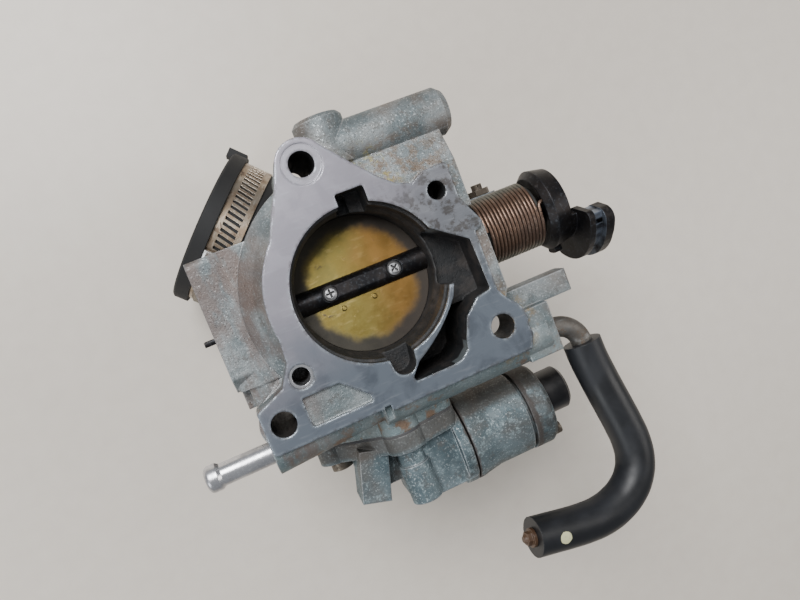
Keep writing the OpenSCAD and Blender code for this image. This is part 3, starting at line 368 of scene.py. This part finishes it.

# Carbon and oil: bore, bypass chamber and the slots in the bore's rim, with painted shade in the bolt holes
radius = cast.reach((0, 0, 0), (1, 1, 0))
below = 1 - cast.rise(z, -0.0006, -0.00035)
bore = (1 - cast.rise(radius, 0.0274, 0.0276)) * below
chamber = below * inside(
    cast, [(1, 0, 38.7), (0.662, -0.749, 38.9), (0, -1, 37.9), (0.47, 0.88, 19.9), (-1, 0, -1.2)])
deep = 1 - cast.rise(z, -0.0060, -0.0045)
chamber = cast.most(chamber, deep * inside(
    cast, [(1, 0, 38.7), (0.662, -0.749, 46), (0, -1, 38.4), (0.47, 0.88, 19.9), (-1, 0, -1.2)]))
slots = inside(cast, [(1, 0, 9.6), (-1, 0, 1.3), (0, 1, 31.8), (0, -1, -16)]) * below
throat = inside(cast, [(1, 0, 5), (-1, 0, 4.2), (0, 1, -18), (0, -1, 34)]) * below
# Painted shade: the bolt and dowel holes get the same near-black as the carbon, as deep holes fall in shade
hole_shade = None
for point, size in (((-7.2, 44.5, 0), 4.7), ((-44.4, -32.6, 0), 4.7), ((37.7, -31.6, 0), 4.7),
                    ((32.6, 20.8, 0), 3.6), ((-33.3, -20.1, 0), 4.3)):
    one_hole_shade = 1 - cast.rise(cast.reach(point, (1, 1, 0)), size * mm, (size + 0.2) * mm)
    hole_shade = one_hole_shade if hole_shade is None else cast.most(hole_shade, one_hole_shade)
dark = cast.most(cast.most(bore, chamber), cast.most(slots, cast.most(throat, hole_shade * below)))
carbon_and_shade_tone = cast.mix(cast.rise(cast.cloud(6, 5, 0.6), 0.42, 0.70),
                  (0.009, 0.009, 0.010), (0.036, 0.029, 0.026))
carbon_and_shade_tone = cast.mix(cast.rise(z, -0.004, -0.0006) * cast.rise(cast.cloud(2.5, 3), 0.52, 0.68) * 0.45,
                  carbon_and_shade_tone, (0.17, 0.19, 0.20))
colour = cast.mix(dark * 0.97, colour, carbon_and_shade_tone)
rough = rough * (1 - dark) + (0.42 + cast.cloud(3, 3) * 0.25) * dark

# The sunk plate on the flange keeps the cast skin
skin_height = height * (1 - milled_mask * 0.97) + scratches * milled_mask * 0.02
bumps = cast.relief(skin_height, 0.32, soft_normal, 0.9)
casting_finish = cast.shade(base_color=colour, metallic=0.82 - dark * 0.72, roughness=rough, normal=bumps)
print("casting finish:", len(cast.tree.nodes), "nodes")

# %% [markdown]
# Most other parts are metal that has aged. One recipe covers them: a base colour that has
# tarnished in patches, fine scratches along the direction of machining, edges rubbed bright and
# grime in the hollows. Each finish only chooses colours and sizes. Separate recipes could look
# a little more individual, but one recipe keeps all the metals in the same light and the same age.

# %% One recipe for aged metal
def aged(name, base, tarnished, bright, grime=(0.05, 0.04, 0.035), rough=0.34, grain=1.6,
         along=(1, 1, 1), soiled=0.5, edge_radius=0.35, metal=0.9):
    """Finish, colour, roughness, normal and metallic of a tarnished, rubbed and soiled metal."""
    skin = Finish(name)
    soft, edge = skin.edges(edge_radius)
    tarnish = skin.rise(skin.cloud(7, 5, 0.6), 0.36, 0.64)
    scratches = skin.cloud(grain, 4, 0.65, stretch=along)
    soil = skin.rise(skin.cloud(4.2, 5, 0.7, twist=0.4), 0.70 - 0.25 * soiled, 0.80 - 0.22 * soiled)
    colour = skin.mix(tarnish, base, tarnished)
    colour = skin.mix(skin.rise(scratches, 0.52, 0.70) * 0.4, colour, bright)
    colour = skin.mix(soil * 0.8, colour, grime)
    colour = skin.mix(edge * 0.7, colour, bright)
    roughness = rough + tarnish * 0.12 + soil * 0.22 - edge * 0.06
    normal = skin.relief(scratches * 0.5 + soil * 0.5, 0.06, soft, 0.7)
    return skin, colour, roughness, normal, metal - soil * 0.45

def plain_metal(name, *colours, **ways):
    skin, colour, roughness, normal, metallic = aged(name, *colours, **ways)
    return skin.shade(base_color=colour, roughness=roughness, metallic=metallic, normal=normal)

def moulded(name, base, dusty, rough, grain, depth=0.05, dust=0.5):
    """Rubber or plastic with a fine moulded grain, dust in patches and edges gone pale."""
    skin = Finish(name)
    soft, edge = skin.edges(0.4)
    grains = skin.cloud(grain, 3, 0.7)
    film = skin.rise(skin.cloud(9, 5, 0.62, twist=0.3), 0.42, 0.70)
    colour = skin.mix(film * dust, base, dusty)
    colour = skin.mix(edge * 0.35, colour, tuple(c * 1.8 + 0.02 for c in dusty))
    normal = skin.relief(grains, depth, soft, 0.8)
    return skin, colour, rough + film * 0.14 + grains * 0.05, normal

def plain_moulded(name, *values, **ways):
    skin, colour, roughness, normal = moulded(name, *values, **ways)
    return skin.shade(base_color=colour, roughness=roughness, normal=normal)

def dress(material, *names):
    """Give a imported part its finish."""
    for name in names:
        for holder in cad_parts[name].material_slots:
            holder.material = material
    print(material.name, "on", ", ".join(names))

dress(casting_finish, "throttle_body")

# %% [markdown]
# The idle valve is die cast in another alloy: bluer, with white bloom and dark lines where two
# parts meet. The dark lines are oil that has crept out of the joints. They could be thin
# black rings of mesh, but a stain has no thickness, so it is painted by its place along X.

# %% Idle valve castings
valve = Finish("valve_casting")
soft_normal, edge = valve.edges(0.8)
x, y, z = valve.axes()
colour, rough, height = cast_metal(
    valve, edge * 0.8, chalky=(0.085, 0.120, 0.135), pale=(0.185, 0.235, 0.255), warm=(0.125, 0.115, 0.105))
wobble = (valve.cloud(6, 3) - 0.5) * 0.003
bloom = valve.rise(valve.cloud(3.2, 6, 0.8), 0.50, 0.64) * valve.rise(valve.cloud(12, 3), 0.42, 0.60)
colour = valve.mix(bloom * 0.5, colour, (0.40, 0.50, 0.53))
seeped = None
for joint, width in ((0.0152, 0.0011), (0.0420, 0.0016)):
    far = valve.node("ShaderNodeMath", {"operation": "ABSOLUTE"}, {0: x + wobble - joint})
    line = 1 - valve.rise(far, width * 0.4, width)
    seeped = line if seeped is None else valve.most(seeped, line)
flange_top = valve.rise(y, -0.0625, -0.0600)
collar_brown = valve.rise(x + wobble, 0.0418, 0.0424) * valve.rise(valve.cloud(4, 4), 0.36, 0.58)
colour = valve.mix(flange_top * 0.6, colour, (0.115, 0.092, 0.075))
colour = valve.mix(collar_brown * 0.6, colour, (0.075, 0.065, 0.058))
colour = valve.mix(seeped * 0.9, colour, (0.05, 0.04, 0.035))
dress(valve.shade(base_color=colour, metallic=0.72 - seeped * 0.5, roughness=rough + 0.02,
                  normal=valve.relief(height, 0.30, soft_normal, 0.85)),
      "idle_valve_housing", "idle_actuator", "idle_actuator_end")

# %% [markdown]
# The butterfly plate is rolled brass. Air leaks past its rim, so oil vapour burns a dark ring
# there and drips run inward, while the middle keeps a yellow-green tarnish. A ring of separate
# mesh could carry the carbon, but the border is ragged, so noise shifts the radius where it starts.

# %% Brass plate
brass, colour, rough, normal, metallic = aged(
    "yellow_brass", (0.27, 0.205, 0.055), (0.20, 0.165, 0.05), (0.46, 0.36, 0.14), grain=2.4,
    along=(0.5, 1.5, 1), soiled=0.35, rough=0.30)
x, y, z = brass.axes()
out = brass.reach((0, 0, 0), (1, 1, 0)) + (brass.cloud(7, 5, 0.6) - 0.5) * 0.005
ring = brass.rise(out, 0.0178, 0.0222)
warm_side = brass.rise(x + (brass.cloud(15, 3) - 0.5) * 0.02, -0.006, 0.012)
colour = brass.mix(warm_side * 0.6, colour, (0.25, 0.105, 0.028))
colour = brass.mix(ring * 0.94, colour, (0.020, 0.018, 0.017))
dress(brass.shade(base_color=colour, roughness=rough + ring * 0.22, normal=normal,
                  metallic=metallic - ring * 0.6), "throttle_plate", "idle_adjust_screw")

# %% [markdown]
# Shaft, lever and cup are steel with a black chemical coat. A painted highlight of bluish grey
# lies in patches in the lever's groove. The groove could be its own part with its own material,
# but the highlight fades at its ends, so a band in X with soft ends is enough.

# %% Black steel
black, colour, rough, normal, metallic = aged(
    "black_steel", (0.012, 0.012, 0.014), (0.024, 0.020, 0.019), (0.085, 0.095, 0.11),
    grime=(0.035, 0.025, 0.020), rough=0.36, grain=1.2, soiled=0.4, metal=0.75, edge_radius=0.5)
x, y, z = black.axes()
lever_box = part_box("cable_lever")
groove = black.rise(x, 0.0844, 0.0849) * (1 - black.rise(x, 0.0881, 0.0886))
# Painted highlight: bluish grey in patches along the groove
groove_highlight = groove * black.rise(black.cloud(5, 4, stretch=(0.3, 1, 1)), 0.30, 0.60)
colour = black.mix(groove_highlight * 0.85, colour, (0.27, 0.31, 0.38))
dress(black.shade(base_color=colour, roughness=rough - groove_highlight * 0.12, normal=normal, metallic=metallic),
      "throttle_shaft", "cable_lever")
print("lever from", [round(c, 4) for c in lever_box[0]],
      "to", [round(c, 4) for c in lever_box[1]])

# %% Small steel parts
screw, colour, rough, normal, metallic = aged(
    "screw_steel", (0.56, 0.56, 0.57), (0.42, 0.42, 0.43), (0.80, 0.80, 0.82), rough=0.30, grain=0.8,
    soiled=0.15)
x, y, z = screw.axes()
screw_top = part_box("plate_screws")[1][2]
# Painted shade: below the very top of the heads the screws are darkened nearly black
head_recess_shade = 1 - screw.rise(z, screw_top - 0.0007, screw_top - 0.0004)
colour = screw.mix(head_recess_shade * 0.92, colour, (0.015, 0.014, 0.013))
dress(screw.shade(base_color=colour, roughness=rough + head_recess_shade * 0.3, metallic=metallic - head_recess_shade * 0.7,
                  normal=normal), "plate_screws")
dress(plain_metal("bright_steel", (0.60, 0.60, 0.62), (0.44, 0.44, 0.46), (0.86, 0.86, 0.88),
                  rough=0.24, grain=0.9, along=(1, 1, 0.2), soiled=0.3),
      "shaft_bearing_left", "shaft_bearing_right", "lever_washer", "dowel_sleeve",
      "coolant_nipple", "idle_plunger", "idle_plunger_spring", "boss_plug")
dress(plain_metal("zinc_plate", (0.19, 0.16, 0.125), (0.13, 0.105, 0.085), (0.42, 0.39, 0.33),
                  grime=(0.06, 0.045, 0.035), rough=0.42, grain=1.1, soiled=0.75, metal=0.8),
      "lever_nut", "stop_screw", "stop_screw_nut", "idle_valve_screws", "idle_actuator_screws",
      "inlet_clamp_screw", "collar_clamp_screw")
dress(plain_metal("grey_pipe", (0.20, 0.195, 0.185), (0.14, 0.125, 0.11), (0.40, 0.40, 0.39),
                  grime=(0.12, 0.08, 0.05), rough=0.48, grain=2.2, along=(0.3, 1, 1), soiled=0.7),
      "coolant_pipe")
dress(plain_metal("copper_wire", (0.52, 0.24, 0.11), (0.40, 0.18, 0.09), (0.76, 0.42, 0.24),
                  rough=0.30, grain=0.7, along=(4, 0.4, 0.4), soiled=0.2), "idle_coil")

# %% [markdown]
# Clamp bands are warm stainless strip with brown heat and dirt stains in patches.

# %% Stainless strip and worm housings
strip_finish = plain_metal("stainless_strip", (0.46, 0.385, 0.30), (0.27, 0.20, 0.14), (0.82, 0.76, 0.67),
                           grime=(0.13, 0.08, 0.05), rough=0.28, grain=2.0, along=(0.4, 0.4, 1.6),
                           soiled=0.6)
housing_finish = plain_metal("worm_housing_steel", (0.66, 0.65, 0.64), (0.50, 0.48, 0.46),
                             (0.90, 0.90, 0.90), rough=0.26, grain=1.2, soiled=0.35)
dress(housing_finish, "inlet_clamp_housing", "collar_clamp_housing")

# %% Rubber, plastics and gasket
dress(plain_moulded("soft_rubber", (0.0075, 0.0075, 0.008), (0.022, 0.021, 0.020), 0.66, 0.5, depth=0.07),
      "inlet_elbow", "shaft_seals", "idle_valve_oring", "adjust_screw_oring")
dress(plain_moulded("black_plastic", (0.010, 0.010, 0.011), (0.035, 0.030, 0.027), 0.30, 0.4,
                    depth=0.03, dust=0.35), "idle_actuator_cap")
dress(plain_moulded("guide_plastic", (0.020, 0.021, 0.020), (0.060, 0.055, 0.045), 0.46, 0.5,
                    dust=0.6), "spring_guide")
dress(plain_moulded("brown_plastic", (0.060, 0.032, 0.018), (0.16, 0.10, 0.06), 0.36, 0.5, dust=0.6),
      "hose_plug")
dress(plain_moulded("gasket_sheet", (0.045, 0.046, 0.050), (0.14, 0.13, 0.12), 0.72, 0.7, depth=0.12),
      "idle_valve_gasket")

# %% [markdown]
# The hose is extruded rubber: smooth, black, with a faint blue sheen and a fine grain,
# and one dot of pale yellow paint that marks how it was fitted. The dot could be a thin disc,
# but paint follows the round surface, so it is a circle in the material.

# %% Hose rubber and its paint dot
rubber = Finish("hose_rubber")
soft_normal, edge = rubber.edges(0.4)
x, y, z = rubber.axes()
film = rubber.rise(rubber.cloud(16, 5, 0.6, twist=0.4), 0.40, 0.68)
colour = rubber.mix(film * 0.6, (0.0045, 0.0050, 0.0065), (0.012, 0.0135, 0.018))
specks = rubber.rise(rubber.cloud(1.0, 3, 0.8), 0.62, 0.74)
colour = rubber.mix(specks * 0.2, colour, (0.045, 0.045, 0.046))
colour = rubber.mix(edge * 0.3, colour, (0.09, 0.09, 0.09))
dot_edge = rubber.reach((29.5, -107.6, 0), (1, 1, 0)) + (rubber.cloud(1.5, 3) - 0.5) * 0.0006
dot = (1 - rubber.rise(dot_edge, 0.0021, 0.0023)) * rubber.rise(z, 0.003, 0.0035)
thin_paint = rubber.rise(rubber.cloud(1.2, 3, 0.7), 0.34, 0.5)
colour = rubber.mix(dot * (0.75 + 0.2 * thin_paint), colour, (0.56, 0.55, 0.33))
hose.data.materials.append(rubber.shade(
    base_color=colour, roughness=0.40 + film * 0.12 + dot * 0.2,
    normal=rubber.relief(rubber.cloud(1.3, 3) * 0.5 + dot * 0.5, 0.05, soft_normal, 0.7)))
print("hose dressed")

# %% [markdown]
# The return spring is wound from round wire, coil against coil. The imported part has the right
# size but few facets, so a finer helix takes its place here. It is a curve of round thickness
# rather than a mesh, so its wire stays exactly round on every turn. Its top is brown and its
# underside darker and greenish; painted shade darkens the inner side of the coils.

# %% Return spring
shaft_axis_z = -0.022
spring_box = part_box("return_spring")
wire_radius, coil_radius, turns, leg = 0.7, 12.3, 15, 5.0
spring_from = spring_box[0][0] / mm + wire_radius
spring_to = spring_box[1][0] / mm - leg - 1.4 - wire_radius

def coil_point(angle, along):
    return (along, coil_radius * math.sin(angle), shaft_axis_z / mm + coil_radius * math.cos(angle))

steps = 16
helix = [coil_point(k * math.tau / steps, spring_from + (spring_to - spring_from) * k / (steps * turns))
         for k in range(steps * turns + 1)]
end_leg = [coil_point(0, spring_to), coil_point(math.radians(12), spring_to + 0.5),
           coil_point(math.radians(16), spring_to + 1.4),
           coil_point(math.radians(16), spring_to + 1.4 + leg)]
spring = tube_curve("return_spring_wire", helix, wire_radius, sides=3, turns=3)
spring_leg = tube_curve("return_spring_leg", end_leg, wire_radius, sides=3, turns=4)
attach(spring, casting)
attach(spring_leg, throttle)
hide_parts("return_spring")
wire, colour, rough, normal, metallic = aged(
    "spring_wire", (0.185, 0.115, 0.082), (0.120, 0.078, 0.060), (0.42, 0.32, 0.26),
    grime=(0.05, 0.035, 0.025), rough=0.36, grain=1.1, along=(1.6, 0.5, 0.5), soiled=0.6, metal=0.85)
x, y, z = wire.axes()
under = 1 - wire.rise(z + (wire.cloud(5, 3) - 0.5) * 0.004, -0.0175, -0.0125)
colour = wire.mix(under * 0.75, colour, (0.085, 0.105, 0.092))
# Painted shade: the inner side of the coils, where they touch, is darkened nearly black
shade_inside_coils = 1 - wire.rise(wire.reach((0, 0, shaft_axis_z / mm), (0, 1, 1)), 0.0122, 0.01285)
colour = wire.mix(shade_inside_coils * 0.85, colour, (0.022, 0.018, 0.014))
wire_finish = wire.shade(base_color=colour, roughness=rough, normal=normal, metallic=metallic)
for piece in (spring, spring_leg):
    piece.data.materials.append(wire_finish)
print("spring from", round(spring_from, 2), "to", round(spring_to, 2), "mm")

# %% [markdown]
# A worm clamp's band is strip steel with a row of slanted slots that the screw's thread bites
# into. Slots could be cut with a boolean, but on a closed ring it is simpler to leave the slot
# faces out of a grid that is bent round the hose, and to give what is left its thickness.

# %% Slotted clamp bands
def slotted_band(name, node, spin, tilt):
    low, high = (Vector(corner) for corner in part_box(node))
    centre, size = (low + high) / 2, high - low
    if tilt:
        outer = size.z / 2
        width = size.x / math.sqrt(0.5) - 2 * outer
    else:
        outer, width = size.x / 2, size.z
    strip, pitch, lip = 0.0008, 0.0026, 0.0026
    count = round(math.tau * outer / pitch)
    columns = [0.0, 0.28, 0.5, 0.78]
    rows = [-width / 2, -width / 2 + lip, width / 2 - lip, width / 2]
    slant = 0.5 * math.tau / count
    mesh = bmesh.new()
    rings = []
    for k in range(count):
        for part in columns:
            ring = []
            for j, height in enumerate(rows):
                angle = math.tau * (k + part) / count + slant * (j in (2, 3))
                ring.append(mesh.verts.new((outer * math.cos(angle), outer * math.sin(angle), height)))
            rings.append(ring)
    for k, ring in enumerate(rings):
        following = rings[(k + 1) % len(rings)]
        for j in range(3):
            if j == 1 and k % 4 in (0, 1):
                continue
            mesh.faces.new((ring[j], following[j], following[j + 1], ring[j + 1]))
    data = bpy.data.meshes.new(name)
    mesh.to_mesh(data)
    mesh.free()
    band = bpy.data.objects.new(name, data)
    band.matrix_world = Matrix.Translation(centre) @ Matrix.Rotation(spin, 4, "Z") @ Matrix.Rotation(
        tilt, 4, "Y")
    bpy.context.collection.objects.link(band)
    thick = band.modifiers.new("strip", "SOLIDIFY")
    thick.thickness, thick.offset = strip, -1
    data.materials.append(strip_finish)
    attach(band, casting)
    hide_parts(node)
    print(name, "radius", round(outer, 4), "width", round(width, 4), "slots", count)
    return band

slotted_band("inlet_band_slotted", "inlet_clamp_band", math.radians(135), math.radians(90))
slotted_band("collar_band_slotted", "collar_clamp_band", 0, 0)
